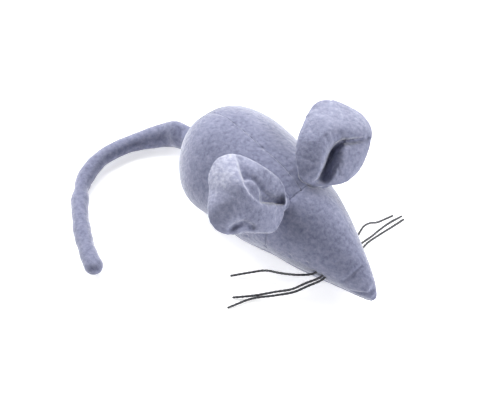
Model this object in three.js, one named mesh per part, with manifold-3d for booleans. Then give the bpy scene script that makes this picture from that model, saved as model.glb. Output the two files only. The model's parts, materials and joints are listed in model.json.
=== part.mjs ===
// A plush cat toy rat, in millimetres. +Z is up, the nose points to +X and the rat's left is +Y.
// The origin is on the floor under the widest part of the body.
import * as THREE from "three";
import { mergeVertices } from "three/addons/utils/BufferGeometryUtils.js";
import Module from "manifold-3d";

const wasm = await Module();
wasm.setup();

// Body and head
const BODY_LENGTH = 144.5;
const BODY_WIDTH = 68.5;
const BODY_HEIGHT = 55;
const RUMP_LENGTH = 43;
const RUMP_HEIGHT = 23;
const NOSE_HEIGHT = 9;
const NOSE_RADIUS = 2.5;
const BELLY_SINK = 4;
const NECK_X = 44;
const NECK_PINCH = 3;
const NECK_SPAN = 8;
const SIDE_SEAM_HEIGHT = 8;

// Fabric and thread
const PLUSH = 2.5;
const NOSE_FOLD = 2;
const CLEARANCE = 0.3;
const THREAD = 1;
const SEAM = THREAD + 2 * CLEARANCE;

// Catnip pocket in the belly
const POCKET_REAR = 6;
const POCKET_FRONT = 39;
const POCKET_WIDTH = 22;
const POCKET_DEPTH = 22;
const LINING = 1.2;
const STRIP_LENGTH = 10;
const STRIP_WIDTH = 18;
const STRIP = 1;

// Ears
const EAR_LENGTH = 46;
const EAR_LAYER = 2.6;
const EAR_RIM = 1.5;
const EAR_GATHER = 4;
const EAR_GATHER_LENGTH = 7;
const EAR_SEAM_ANGLE = 49;
const EAR_FLOP = 15;
const LOBE_LIFT = 3;
const HOLLOW_DEPTH = 8;
const HOLLOW_WIDTH = 16;
const FOLD_EDGE = 4;

// Tail
const TAIL_ROOT_RADIUS = 7;
const TAIL_RADIUS = 4.8;
const TAIL_BEND = 42;
const TAIL_LENGTH = 154;

// Whiskers
const WHISKER = 1.4;
const WHISKER_STEPS = 13;

const BODY_RINGS = 28;
const BODY_SIDES = 19;
const X_AXIS = new THREE.Vector3(1, 0, 0);
const Y_AXIS = new THREE.Vector3(0, 1, 0);
const Z_AXIS = new THREE.Vector3(0, 0, 1);
const vec = (x, y, z) => new THREE.Vector3(x, y, z);
const degrees = THREE.MathUtils.degToRad;

const plush = new THREE.MeshStandardMaterial({ color: 0x8f95ad, roughness: 0.95 });
const earPlush = new THREE.MeshStandardMaterial({ color: 0x868ca6, roughness: 0.95 });
const seamThread = new THREE.MeshStandardMaterial({ color: 0x6b7088, roughness: 0.8 });
const fibre = new THREE.MeshStandardMaterial({ color: 0xf2f0ea, roughness: 1 });
const cotton = new THREE.MeshStandardMaterial({ color: 0xd9d6cc, roughness: 0.9 });
const nylon = new THREE.MeshStandardMaterial({ color: 0x3a3d48, roughness: 0.7 });
const waxedCord = new THREE.MeshStandardMaterial({ color: 0x17171f, roughness: 0.5 });

const toy = new THREE.Group();

// A closed solid with its faces turned outwards.
function toSolid(geometry) {
  const bare = new THREE.BufferGeometry();
  bare.setAttribute("position", geometry.getAttribute("position"));
  bare.setIndex(geometry.getIndex());
  const merged = mergeVertices(bare, 1e-4);
  const triVerts = Uint32Array.from(merged.getIndex().array);
  const vertProperties = Float32Array.from(merged.getAttribute("position").array);
  const solid = new wasm.Manifold(new wasm.Mesh({ numProp: 3, vertProperties, triVerts }));
  if (solid.volume() > 0) return solid;
  triVerts.reverse();
  return new wasm.Manifold(new wasm.Mesh({ numProp: 3, vertProperties, triVerts }));
}

function toGeometry(solid) {
  const mesh = solid.getMesh();
  const geometry = new THREE.BufferGeometry();
  geometry.setAttribute("position", new THREE.BufferAttribute(mesh.vertProperties, 3));
  geometry.setIndex(new THREE.BufferAttribute(mesh.triVerts, 1));
  geometry.computeVertexNormals();
  return geometry;
}

function add(name, solid, material) {
  const mesh = new THREE.Mesh(toGeometry(solid), material.clone());
  mesh.name = name;
  toy.add(mesh);
}

function box(from, to) {
  const size = to.clone().sub(from);
  const centre = from.clone().add(to).multiplyScalar(0.5);
  const geometry = new THREE.BoxGeometry(size.x, size.y, size.z);
  return toSolid(geometry.translate(centre.x, centre.y, centre.z));
}

function ball(centre, radius) {
  const geometry = new THREE.SphereGeometry(radius, 16, 10);
  return toSolid(geometry.translate(centre.x, centre.y, centre.z));
}

// A closed skin over rings of the same number of points, drawn together to a point at each end.
function loft(start, rings, end) {
  const sides = rings[0].length;
  const points = [start, ...rings.flat(), end];
  const last = points.length - 1;
  const at = (i, j) => 1 + i * sides + (j % sides);
  const faces = [];
  for (let j = 0; j < sides; j++) {
    faces.push(0, at(0, j), at(0, j + 1));
    faces.push(last, at(rings.length - 1, j + 1), at(rings.length - 1, j));
  }
  for (let i = 0; i + 1 < rings.length; i++) {
    for (let j = 0; j < sides; j++) {
      faces.push(at(i, j), at(i + 1, j), at(i + 1, j + 1));
      faces.push(at(i, j), at(i + 1, j + 1), at(i, j + 1));
    }
  }
  const geometry = new THREE.BufferGeometry().setFromPoints(points);
  geometry.setIndex(faces);
  return toSolid(geometry);
}

// A round cord of the given diameter that follows a curve.
function cord(curve, diameter, steps) {
  const section = new THREE.Shape();
  const sides = 8;
  for (let i = 0; i < sides; i++) {
    const angle = (i / sides) * 2 * Math.PI;
    const x = (diameter / 2) * Math.cos(angle);
    const y = (diameter / 2) * Math.sin(angle);
    if (i === 0) section.moveTo(x, y);
    else section.lineTo(x, y);
  }
  section.closePath();
  const geometry = new THREE.ExtrudeGeometry(section, { steps, extrudePath: curve });
  return toSolid(geometry);
}

const through = (points) => new THREE.CatmullRomCurve3(points);

// Body surface: its half-width, its widest height, its top and its underside at x.
// A surface that lies deeper by "inset" makes the inside of the fabric and the stuffing.
function swell(u, peak, power, root) {
  if (u < peak) return Math.sqrt(Math.max(0, 1 - ((peak - u) / peak) ** 2));
  const v = (u - peak) / (1 - peak);
  return Math.max(0, 1 - v ** power) ** (1 / root);
}

function bodyEnds(inset) {
  return [-RUMP_LENGTH + inset, BODY_LENGTH - RUMP_LENGTH - inset * NOSE_FOLD];
}

function bodySection(x, inset) {
  const [rear, front] = bodyEnds(inset);
  const u = THREE.MathUtils.clamp((x - rear) / (front - rear), 0, 1);
  const toTip = 1 - u;
  const blunt = Math.sqrt(2 * NOSE_RADIUS * toTip * (front - rear) * u ** 12);
  const pinch = NECK_PINCH * Math.exp(-(((x - NECK_X) / NECK_SPAN) ** 2));
  const mid = NOSE_HEIGHT + (RUMP_HEIGHT - NOSE_HEIGHT) * (1 - u ** 3);
  const width = (BODY_WIDTH / 2 - inset) * swell(u, 0.27, 1.7, 1.1);
  const rise = (BODY_HEIGHT - inset - mid) * swell(u, 0.24, 3, 1.2);
  const drop = (mid - inset + BELLY_SINK) * swell(u, 0.3, 3, 1.6);
  return {
    half: Math.hypot(width, blunt) - pinch / 2,
    mid,
    top: mid + Math.hypot(rise, blunt) - pinch,
    under: mid - Math.hypot(drop, Math.min(blunt, 3)),
  };
}

// A point of the section at x, at an angle above (or below) its widest height.
function bodyPoint(x, angle, inset) {
  const { half, mid, top, under } = bodySection(x, inset);
  const reach = Math.sin(angle) > 0 ? top - mid : mid - under;
  return vec(x, half * Math.cos(angle), mid + reach * Math.sin(angle));
}

// The angle below the widest height at which the section meets the flat belly.
function footAngle(x, inset) {
  const { mid, under } = bodySection(x, inset);
  return Math.asin(Math.min(0.998, (mid - inset) / (mid - under)));
}

function bodySolid(inset) {
  const [rear, front] = bodyEnds(inset);
  const places = [-7, -3.5, 0, 3.5, 7].map((step) => NECK_X + step);
  for (let i = 1; i < BODY_RINGS; i++) {
    const x = rear + (front - rear) * (0.5 - 0.5 * Math.cos((Math.PI * i) / BODY_RINGS));
    if (Math.abs(x - NECK_X) > 9) places.push(x);
  }
  places.sort((a, b) => a - b);
  const rings = [];
  for (const x of places) {
    const foot = footAngle(x, inset);
    const ring = [];
    for (let j = 0; j < BODY_SIDES; j++) {
      ring.push(bodyPoint(x, -foot + ((Math.PI + 2 * foot) * j) / (BODY_SIDES - 1), inset));
    }
    rings.push(ring);
  }
  return loft(vec(rear, 0, RUMP_HEIGHT), rings, vec(front, 0, NOSE_HEIGHT));
}

const outside = bodySolid(0);
const bodyClearance = bodySolid(-CLEARANCE);
const fabricInside = bodySolid(PLUSH);
const stuffing = bodySolid(PLUSH + CLEARANCE);
const shell = outside.subtract(fabricInside);
const FAR = 200;

// Panels, with a slit at each seam for its thread
const aboveSeam = box(vec(-FAR, -FAR, SIDE_SEAM_HEIGHT + SEAM / 2), vec(FAR, FAR, FAR));
const belowSeam = box(vec(-FAR, -FAR, -FAR), vec(FAR, FAR, SIDE_SEAM_HEIGHT - SEAM / 2));
const behindNeck = box(vec(-FAR, -FAR, -FAR), vec(NECK_X - SEAM / 2, FAR, FAR));
const aheadOfNeck = box(vec(NECK_X + SEAM / 2, -FAR, -FAR), vec(FAR, FAR, FAR));
const leftOfSpine = box(vec(-FAR, SEAM / 2, -FAR), vec(FAR, FAR, FAR));
const rightOfSpine = box(vec(-FAR, -FAR, -FAR), vec(FAR, -SEAM / 2, FAR));
const upper = shell.intersect(aboveSeam);
const back = upper.intersect(behindNeck);

// Whiskers: each pair of strands is one cord, threaded through the snout from side to side.
const whiskerRoutes = {
  upper: {
    right: [
      [72.6, -16.9, 16],
      [67.2, -22.4, 13.5],
      [58.9, -26.5, 9.8],
      [48.5, -29.5, 6.2],
      [42.4, -35, 3.2],
      [35.6, -43.7, 0.8],
    ],
    left: [
      [70.8, 17.5, 18.6],
      [67.9, 25.1, 18],
      [65.9, 32.1, 14],
      [65.3, 39.5, 8.6],
      [64.1, 47.6, 4.2],
      [63.4, 55.1, 0.9],
    ],
  },
  middle: {
    right: [
      [76.4, -15.3, 15],
      [72.4, -21.4, 11.6],
      [68.3, -27.6, 7.6],
      [61.7, -34.6, 4.4],
      [54.9, -43, 1.8],
      [47.6, -52.4, 0.8],
    ],
    left: [
      [75.3, 15.7, 17.6],
      [74, 21.7, 15],
      [72.2, 28.4, 11.6],
      [69.8, 37.4, 8],
      [67.6, 47.3, 4],
      [67, 58.7, 0.9],
    ],
  },
  lower: {
    right: [
      [77.6, -14.8, 13.8],
      [73.9, -21.3, 10.4],
      [69.9, -27.6, 6.6],
      [62.9, -35.7, 3.4],
      [55.4, -44.9, 1.2],
      [51.2, -59, 0.8],
    ],
    left: [
      [77.3, 14.9, 16.1],
      [74.6, 22.8, 12.6],
      [72.6, 30.7, 8.8],
      [71.2, 39.5, 5.6],
      [69.9, 48.3, 2.4],
      [69.4, 58, 0.9],
    ],
  },
};

const whiskerThreads = {};
for (const [name, route] of Object.entries(whiskerRoutes)) {
  const right = vec(...route.right[0]);
  const left = vec(...route.left[0]);
  const inward = left.clone().sub(right).normalize().multiplyScalar(WHISKER / 2 + 1.5 * CLEARANCE);
  const line = new THREE.LineCurve3(right.add(inward), left.sub(inward));
  whiskerThreads[name] = { line, hole: cord(line, WHISKER + 2 * CLEARANCE, 1) };
}

let headPanel = upper.intersect(aheadOfNeck);
let headFill = stuffing.intersect(box(vec(NECK_X + CLEARANCE / 2, -FAR, -FAR), vec(FAR, FAR, FAR)));
for (const { hole } of Object.values(whiskerThreads)) {
  headPanel = headPanel.subtract(hole);
  headFill = headFill.subtract(hole);
}

// Pocket: a window in the belly panel, a lining box over it and a flap that fills it
const liningFloor = PLUSH + CLEARANCE;
const liningTop = liningFloor + POCKET_DEPTH;
const stripFloor = PLUSH + CLEARANCE;
const loopFloor = stripFloor + STRIP + CLEARANCE;
const shelfFloor = loopFloor + STRIP + CLEARANCE;
const halfPocket = POCKET_WIDTH / 2;
const stripRear = POCKET_REAR + 4 * CLEARANCE;
const stripFront = stripRear + STRIP_LENGTH;
const shelfFront = stripFront + 2;

const window_ = box(vec(POCKET_REAR, -halfPocket, -1), vec(POCKET_FRONT, halfPocket, PLUSH + 1));
const bellyPanel = shell.intersect(belowSeam).subtract(window_);

const wallRear = POCKET_REAR - 0.5;
const wallFront = POCKET_FRONT + 0.5;
const wallSide = halfPocket + 0.5;
const liningBlock = (grow, floor) =>
  box(
    vec(wallRear - grow, -wallSide - grow, floor),
    vec(wallFront + grow, wallSide + grow, liningTop + grow),
  );
const shelf = box(
  vec(wallRear - LINING / 2, -wallSide - LINING / 2, shelfFloor),
  vec(shelfFront, wallSide + LINING / 2, shelfFloor + LINING),
);
const lining = liningBlock(LINING, liningFloor).subtract(liningBlock(0, 0)).add(shelf);
const bodyFill = stuffing
  .intersect(box(vec(-FAR, -FAR, -FAR), vec(NECK_X - CLEARANCE / 2, FAR, FAR)))
  .subtract(liningBlock(LINING + CLEARANCE, 0));
headFill = headFill.subtract(liningBlock(LINING + CLEARANCE, 0));

const flapGap = 2 * CLEARANCE;
const flapFront = POCKET_FRONT - SEAM;
const flap = box(
  vec(POCKET_REAR + flapGap, -halfPocket + flapGap, 0),
  vec(flapFront, halfPocket - flapGap, PLUSH),
);
const strip = (floor) =>
  box(vec(stripRear, -STRIP_WIDTH / 2, floor), vec(stripFront, STRIP_WIDTH / 2, floor + STRIP));
const flapSeam = new THREE.LineCurve3(
  vec(POCKET_FRONT - SEAM / 2, -halfPocket + flapGap, PLUSH / 2),
  vec(POCKET_FRONT - SEAM / 2, halfPocket - flapGap, PLUSH / 2),
);

// Seam threads lie in their slits, a thread's width under the surface.
const spinePoints = [];
for (let i = 0; i <= 16; i++) {
  const share = (i / 16) ** 1.6;
  const x = -RUMP_LENGTH + THREAD + 0.05 + (NECK_X + RUMP_LENGTH - 3.2 * THREAD) * share;
  spinePoints.push(bodyPoint(x, Math.PI / 2, THREAD));
}
const neck = bodySection(NECK_X, THREAD);
const neckFoot = Math.asin((neck.mid - SIDE_SEAM_HEIGHT - 2 * THREAD) / (neck.mid - neck.under));
const neckPoints = [];
for (let i = 0; i <= 20; i++) {
  neckPoints.push(bodyPoint(NECK_X, -neckFoot + (Math.PI + 2 * neckFoot) * (i / 20), THREAD));
}

// One side's low seam, from the rump's end to the nose.
function sideSeam(side) {
  const [rear, front] = bodyEnds(THREAD);
  const points = [];
  for (let i = 0; i <= 24; i++) {
    const x = rear + (front - rear) * (0.018 + 0.978 * (0.5 - 0.5 * Math.cos((Math.PI * i) / 24)));
    const { half, mid, top, under } = bodySection(x, THREAD);
    const reach = SIDE_SEAM_HEIGHT > mid ? top - mid : mid - under;
    const lift = Math.min(1, Math.abs(SIDE_SEAM_HEIGHT - mid) / reach);
    const y = half * Math.sqrt(1 - lift * lift);
    if (y > THREAD) points.push(vec(x, side * y, SIDE_SEAM_HEIGHT));
  }
  return through(points);
}

// How far a point of the ear's plane lies from a line of points: plus on its left, minus on its right.
function besideLine(u, v, line) {
  let best = Infinity;
  let side = 1;
  for (let i = 0; i + 1 < line.length; i++) {
    const [startU, startV] = line[i];
    const stepU = line[i + 1][0] - startU;
    const stepV = line[i + 1][1] - startV;
    const share = ((u - startU) * stepU + (v - startV) * stepV) / (stepU ** 2 + stepV ** 2);
    const at = THREE.MathUtils.clamp(share, 0, 1);
    const far = Math.hypot(u - startU - at * stepU, v - startV - at * stepV);
    if (far < best) {
      best = far;
      side = Math.sign(stepU * (v - startV) - stepV * (u - startU));
    }
  }
  return best * side;
}

function largestPart(solid) {
  return solid.decompose().reduce((a, b) => (a.volume() > b.volume() ? a : b));
}

// An ear: a pad of two plush layers, gathered at the neck seam. It took one deep fold as it was gathered:
// the near lobe rolls over a hollow, and the far lobe stands up behind it.
// d runs from the base to the tip, n out of its front, b across, and h along the neck seam.
// "reach" is the outline's distance from "middle" (along d and b) every 20 degrees, "ridge" is the edge of
// the near lobe, and "near" is the side of the ridge on which that lobe lies.
function ear(side, { sweep, raise, turn, middle, reach, ridge, near }) {
  const seat = bodyPoint(NECK_X, degrees(EAR_SEAM_ANGLE), 0);
  const ahead = bodyPoint(NECK_X, degrees(EAR_SEAM_ANGLE - 1), 0);
  const h = ahead.clone().sub(seat).normalize();
  const out = X_AXIS.clone().cross(h);
  const hinge = seat.clone().addScaledVector(out, EAR_GATHER + CLEARANCE);
  const flat = Math.cos(degrees(raise));
  const d = vec(-Math.sin(degrees(sweep)) * flat, Math.cos(degrees(sweep)) * flat, Math.sin(degrees(raise)));
  const n = X_AXIS.clone().addScaledVector(d, -d.x).normalize().applyAxisAngle(d, degrees(-turn));
  const b = n.clone().cross(d);
  const size = EAR_LENGTH / 46;
  const cells = 22;

  function outlineReach(angle) {
    const place = ((angle / (2 * Math.PI) + 1) % 1) * reach.length;
    const first = Math.floor(place);
    const next = reach[(first + 1) % reach.length];
    return reach[first] + (next - reach[first]) * (place - first);
  }

  function rise(u, v, share) {
    const off = besideLine(u, v, ridge) * near;
    const lobe = LOBE_LIFT * (1 - share ** 4);
    const hollow = -HOLLOW_DEPTH * (1 - THREE.MathUtils.smoothstep(-off, 0, HOLLOW_WIDTH));
    const fold = hollow + (lobe - hollow) * THREE.MathUtils.smoothstep(off, -FOLD_EDGE, FOLD_EDGE);
    return fold * THREE.MathUtils.smoothstep(u, -8, 9);
  }

  function layer(sign) {
    const inner = [];
    const outer = [];
    for (let i = 0; i <= cells; i++) {
      for (let j = 0; j <= cells; j++) {
        const p = (2 * i) / cells - 1;
        const q = (2 * j) / cells - 1;
        const x = p * Math.sqrt(1 - (q * q) / 2);
        const y = q * Math.sqrt(1 - (p * p) / 2);
        const share = Math.min(1, Math.hypot(x, y));
        const edge = outlineReach(Math.atan2(y, x));
        const u = middle[0] + edge * x;
        const v = middle[1] + edge * y;
        const point = hinge.clone().addScaledVector(d, u * size).addScaledVector(b, v * size);
        point.addScaledVector(n, rise(u, v, share) * size);
        const deep = EAR_RIM + (EAR_LAYER - EAR_RIM) * Math.sqrt(1 - share ** 4);
        inner.push(point.clone().addScaledVector(n, sign * (CLEARANCE / 2)));
        outer.push(point.clone().addScaledVector(n, sign * (CLEARANCE / 2 + deep)));
      }
    }
    return sheet(inner, outer, cells, cells);
  }

  function gather(radius) {
    const geometry = new THREE.CapsuleGeometry(radius, EAR_GATHER_LENGTH, 4, 12);
    geometry.applyQuaternion(new THREE.Quaternion().setFromUnitVectors(Y_AXIS, h));
    return toSolid(geometry.translate(hinge.x, hinge.y, hinge.z));
  }

  // The body as the ear meets it when it flops forwards and back.
  function bodyAt(angle) {
    const move = new THREE.Matrix4().makeRotationAxis(h, degrees(angle));
    move.premultiply(new THREE.Matrix4().makeTranslation(hinge));
    move.multiply(new THREE.Matrix4().makeTranslation(hinge.clone().negate()));
    return bodyClearance.transform(move.elements);
  }

  const swept = wasm.Manifold.union([-1, -0.5, 0, 0.5, 1].map((share) => bodyAt(share * EAR_FLOP)));
  const place = (solid) => (side > 0 ? solid : solid.mirror([0, 1, 0]));
  return {
    back: place(largestPart(layer(-1).subtract(swept).add(gather(EAR_GATHER)))),
    front: place(largestPart(layer(1).subtract(swept).subtract(gather(EAR_GATHER + CLEARANCE)))),
  };
}

// A closed sheet between two grids of points.
function sheet(near, far, rows, columns) {
  const count = near.length;
  const at = (i, j) => i * (columns + 1) + j;
  const faces = [];
  const quad = (a, b, c, d) => faces.push(a, b, c, a, c, d);
  for (let i = 0; i < rows; i++) {
    for (let j = 0; j < columns; j++) {
      quad(at(i, j), at(i, j + 1), at(i + 1, j + 1), at(i + 1, j));
      quad(count + at(i, j), count + at(i + 1, j), count + at(i + 1, j + 1), count + at(i, j + 1));
    }
    quad(at(i, 0), at(i + 1, 0), count + at(i + 1, 0), count + at(i, 0));
    quad(at(i + 1, columns), at(i, columns), count + at(i, columns), count + at(i + 1, columns));
  }
  for (let j = 0; j < columns; j++) {
    quad(at(0, j + 1), at(0, j), count + at(0, j), count + at(0, j + 1));
    quad(at(rows, j), at(rows, j + 1), count + at(rows, j + 1), count + at(rows, j));
  }
  const geometry = new THREE.BufferGeometry().setFromPoints([...near, ...far]);
  geometry.setIndex(faces);
  return toSolid(geometry);
}

// Tail: a soft tube on the floor, cut into short lengths that meet as ball and cup.
const tailRoot = vec(-48.65, 0.5, 14);
const tailShape = [
  tailRoot,
  vec(-58, -1.5, 10),
  vec(-67, -5, 6.4),
  vec(-73.5, -16, 5.2),
  vec(-78.5, -32, 4.9),
  vec(-78.5, -48, 4.9),
  vec(-71.5, -64, 4.9),
  vec(-60, -75.5, 4.9),
  vec(-47.5, -84, 4.9),
  vec(-35.5, -90.5, 4.9),
  vec(-23.5, -95.5, 4.9),
  vec(-12, -99, 4.9),
];
const tailScale = TAIL_LENGTH / 154;
const tailRoute = through(
  tailShape.map((point) => {
    const step = point.clone().sub(tailRoot);
    return vec(tailRoot.x + step.x * tailScale, tailRoot.y + step.y * tailScale, point.z);
  }),
);
const tailJoints = [0, 0.12, 0.3, 0.48, 0.66, 0.83, 0.985];

function tailRadius(t) {
  return TAIL_RADIUS + (TAIL_ROOT_RADIUS - TAIL_RADIUS) * Math.max(0, 1 - t / 0.22) ** 1.5;
}

function tailRing(centre, along, radius) {
  const across = Z_AXIS.clone().cross(along).normalize();
  const up = along.clone().cross(across);
  const ring = [];
  for (let i = 0; i < 12; i++) {
    const angle = (i / 12) * 2 * Math.PI;
    const point = centre.clone().addScaledVector(across, radius * Math.cos(angle));
    ring.push(point.addScaledVector(up, radius * Math.sin(angle)));
  }
  return ring;
}

function tailLength(index) {
  const from = tailJoints[index];
  const to = tailJoints[index + 1];
  const total = tailRoute.getLength();
  const first = index === 0;
  const startRadius = tailRadius(from);
  const start = first ? from : from + (startRadius * Math.sin(degrees(TAIL_BEND))) / total;
  const rings = [];
  const startCentre = tailRoute.getPointAt(start);
  const startAlong = tailRoute.getTangentAt(start);
  if (first) {
    for (let i = 1; i < 4; i++) {
      const angle = degrees(90 - 22.5 * i);
      const centre = startCentre.clone().addScaledVector(startAlong, -startRadius * Math.sin(angle));
      rings.push(tailRing(centre, startAlong, startRadius * Math.cos(angle)));
    }
  }
  const spans = 4;
  for (let i = 0; i <= spans; i++) {
    const t = start + ((to - start) * i) / spans;
    rings.push(tailRing(tailRoute.getPointAt(t), tailRoute.getTangentAt(t), tailRadius(t)));
  }
  const endCentre = tailRoute.getPointAt(to);
  const endAlong = tailRoute.getTangentAt(to);
  const endRadius = tailRadius(to);
  for (let i = 1; i < 4; i++) {
    const angle = degrees(22.5 * i);
    const centre = endCentre.clone().addScaledVector(endAlong, endRadius * Math.sin(angle));
    rings.push(tailRing(centre, endAlong, endRadius * Math.cos(angle)));
  }
  const startPoint = first ? startCentre.clone().addScaledVector(startAlong, -startRadius) : startCentre;
  const solid = loft(startPoint, rings, endCentre.clone().addScaledVector(endAlong, endRadius));
  return first ? solid : solid.subtract(ball(tailRoute.getPointAt(from), startRadius + 1.5 * CLEARANCE));
}

add("back_panel_left", back.intersect(leftOfSpine), plush);
add("back_panel_right", back.intersect(rightOfSpine), plush);
add("head_panel", headPanel, plush);
add("belly_panel", bellyPanel, plush);
add("body_stuffing", bodyFill, fibre);
add("head_stuffing", headFill, fibre);
add("spine_seam_thread", cord(through(spinePoints), THREAD, 16), seamThread);
add("neck_seam_thread", cord(through(neckPoints), THREAD, 20), seamThread);
add("side_seam_thread_left", cord(sideSeam(1), THREAD, 20), seamThread);
add("side_seam_thread_right", cord(sideSeam(-1), THREAD, 20), seamThread);
add("pocket_lining", lining, cotton);
add("pocket_flap", flap, plush);
add("flap_seam_thread", cord(flapSeam, THREAD, 1), seamThread);
add("hook_strip", strip(stripFloor), nylon);
add("loop_strip", strip(loopFloor), nylon);

const earLeft = ear(1, {
  sweep: 19,
  raise: 35,
  turn: 50,
  middle: [14, 4],
  reach: [24.1, 24.9, 25.2, 22, 19.6, 19.4, 19.7, 20.7, 23, 20.7, 19.2, 18.9, 18.8, 19.1, 19.4, 20.8, 23.6, 24.2],
  ridge: [[-7, 6.3], [3.4, 4.4], [10.7, 5.3], [16.5, 4.3], [20.8, 1.4], [23.4, -4.1], [27.2, -9.8], [31, -15]],
  near: 1,
});
const earRight = ear(-1, {
  sweep: 29,
  raise: 24,
  turn: 32,
  middle: [18, 5],
  reach: [20.9, 23.5, 25.2, 23.4, 20.2, 18.2, 18.1, 19.6, 22, 22.6, 23.7, 24.2, 20.6, 18.8, 20.3, 22.9, 23.5, 21.8],
  ridge: [[-6, 3.5], [8.8, 2.7], [12.2, 3.6], [16.8, 6.9], [20.4, 11.2], [23.6, 17.3], [26.2, 23], [28, 28]],
  near: -1,
});
add("ear_left_back", earLeft.back, plush);
add("ear_left_front", earLeft.front, earPlush);
add("ear_right_back", earRight.back, plush);
add("ear_right_front", earRight.front, earPlush);

for (let i = 0; i + 1 < tailJoints.length; i++) {
  add(i === 0 ? "tail_root" : `tail_length_${i}`, tailLength(i), plush);
}

for (const [name, route] of Object.entries(whiskerRoutes)) {
  add(`whisker_thread_${name}`, cord(whiskerThreads[name].line, WHISKER, 1), waxedCord);
  for (const side of ["right", "left"]) {
    const points = route[side].map((point) => vec(...point));
    add(`whisker_${side}_${name}`, cord(through(points), WHISKER, WHISKER_STEPS), waxedCord);
  }
}

export default toy;
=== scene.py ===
# %% [markdown]
# A plush rat for a cat to carry about, sewn from short-pile grey-blue fabric. It has a stuffed body, two
# floppy ears, a soft tail and six whiskers of waxed cord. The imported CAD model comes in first. It fixes
# where every piece goes and what moves, and each piece made below stands for one or more of its nodes.

import json
import math

import bpy
import numpy as np
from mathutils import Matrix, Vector
from mathutils.bvhtree import BVHTree

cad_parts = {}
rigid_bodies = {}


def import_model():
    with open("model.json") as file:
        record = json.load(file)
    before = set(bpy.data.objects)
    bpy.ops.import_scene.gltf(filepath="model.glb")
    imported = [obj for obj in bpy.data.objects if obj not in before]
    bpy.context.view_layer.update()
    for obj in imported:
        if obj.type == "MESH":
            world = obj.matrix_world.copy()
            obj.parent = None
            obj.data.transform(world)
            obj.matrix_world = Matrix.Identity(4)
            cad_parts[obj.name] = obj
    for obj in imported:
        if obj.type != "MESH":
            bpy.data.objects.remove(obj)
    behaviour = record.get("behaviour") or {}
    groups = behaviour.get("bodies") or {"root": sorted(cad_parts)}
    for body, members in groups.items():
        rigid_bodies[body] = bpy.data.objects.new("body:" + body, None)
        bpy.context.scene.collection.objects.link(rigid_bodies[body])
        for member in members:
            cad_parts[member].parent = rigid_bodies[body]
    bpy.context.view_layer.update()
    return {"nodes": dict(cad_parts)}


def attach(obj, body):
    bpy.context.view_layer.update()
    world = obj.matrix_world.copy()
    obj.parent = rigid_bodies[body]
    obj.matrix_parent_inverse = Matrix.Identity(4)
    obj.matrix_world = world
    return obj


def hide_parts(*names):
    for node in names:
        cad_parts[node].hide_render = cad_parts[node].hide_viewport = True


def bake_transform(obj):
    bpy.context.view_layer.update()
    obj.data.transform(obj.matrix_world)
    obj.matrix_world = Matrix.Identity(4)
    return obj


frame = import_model()
MM = 0.001
scene = bpy.context.scene

# %% [markdown]
# Operators act on whatever is selected, so a few helpers keep the selection in order. Others read and write
# a mesh's points as one array, which makes a soft move over thousands of points quick to write.


# %% Selecting and points
def select_only(*pieces):
    bpy.ops.object.select_all(action="DESELECT")
    for piece in pieces:
        piece.select_set(True)
    bpy.context.view_layer.objects.active = pieces[0]


def apply_modifiers(piece):
    select_only(piece)
    for modifier in list(piece.modifiers):
        bpy.ops.object.modifier_apply(modifier=modifier.name)


def started(name, add, **values):
    """A new piece made by one of Blender's own shapes."""
    bpy.ops.object.select_all(action="DESELECT")
    add(**values)
    piece = bpy.context.active_object
    piece.name = piece.data.name = name
    return piece


def edited(piece, operator, **values):
    """Runs one mesh operator on the whole of a piece."""
    select_only(piece)
    bpy.ops.object.mode_set(mode="EDIT")
    bpy.ops.mesh.select_all(action="SELECT")
    operator(**values)
    bpy.ops.object.mode_set(mode="OBJECT")


def relaxed(piece, times):
    edited(piece, bpy.ops.mesh.vertices_smooth, factor=0.5, repeat=times)


def rounded(piece, levels):
    """Subdivides a piece smoothly, after any modifiers that it already has."""
    round_off = piece.modifiers.new("rounding", "SUBSURF")
    round_off.levels = round_off.render_levels = levels
    apply_modifiers(piece)


def on_open_edges(piece, *operators):
    """Runs mesh operators on the edges of a piece's holes."""
    select_only(piece)
    bpy.ops.object.mode_set(mode="EDIT")
    bpy.ops.mesh.select_mode(type="EDGE")
    bpy.ops.mesh.select_all(action="DESELECT")
    bpy.ops.mesh.select_non_manifold(
        use_wire=False, use_boundary=True, use_multi_face=False, use_non_contiguous=False, use_verts=False
    )
    for operator in operators:
        operator()
    bpy.ops.object.mode_set(mode="OBJECT")


def rows_of(parts, kind):
    """One vector of each vertex or face, as the rows of an array."""
    flat = np.empty(len(parts) * 3, np.float32)
    parts.foreach_get(kind, flat)
    return flat.reshape(-1, 3)


def points_of(piece):
    return rows_of(piece.data.vertices, "co").astype(float)


def normals_of(piece):
    return rows_of(piece.data.vertices, "normal").astype(float)


def move_points(piece, points):
    piece.data.vertices.foreach_set("co", points.astype(np.float32).ravel())
    piece.data.update()


def keep_heights(piece, low, high):
    points = points_of(piece)
    points[:, 2] = np.clip(points[:, 2], low, high)
    move_points(piece, points)


def tell(piece):
    print(piece.name, "has", len(piece.data.polygons), "faces")


# %% [markdown]
# Some arithmetic comes back again and again: a smooth step from 0 to 1, a bell that falls off on both sides,
# and vectors made one long.


# %% Arithmetic
def smooth_step(low, high, value):
    share = np.clip((value - low) / (high - low), 0, 1)
    return share * share * (3 - 2 * share)


def bell(gap, width):
    return np.exp(-((gap / width) ** 2))


def unit(vectors):
    return vectors / np.maximum(np.linalg.norm(vectors, axis=-1, keepdims=True), 1e-9)


# %% [markdown]
# Whiskers, threads and the tail follow lines in space. Most lines are given by a few points,
# and are smooth between them.


# %% Lines
def steps_along(line):
    """How far along a line each of its points lies."""
    return np.concatenate([[0], np.cumsum(np.linalg.norm(np.diff(line, axis=0), axis=1))])


def length_of(line):
    return float(np.linalg.norm(np.diff(line, axis=0), axis=1).sum())


def respaced(line, count):
    along = steps_along(line)
    at = np.linspace(0, along[-1], count)
    return np.stack([np.interp(at, along, line[:, k]) for k in range(3)], axis=1)


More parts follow.
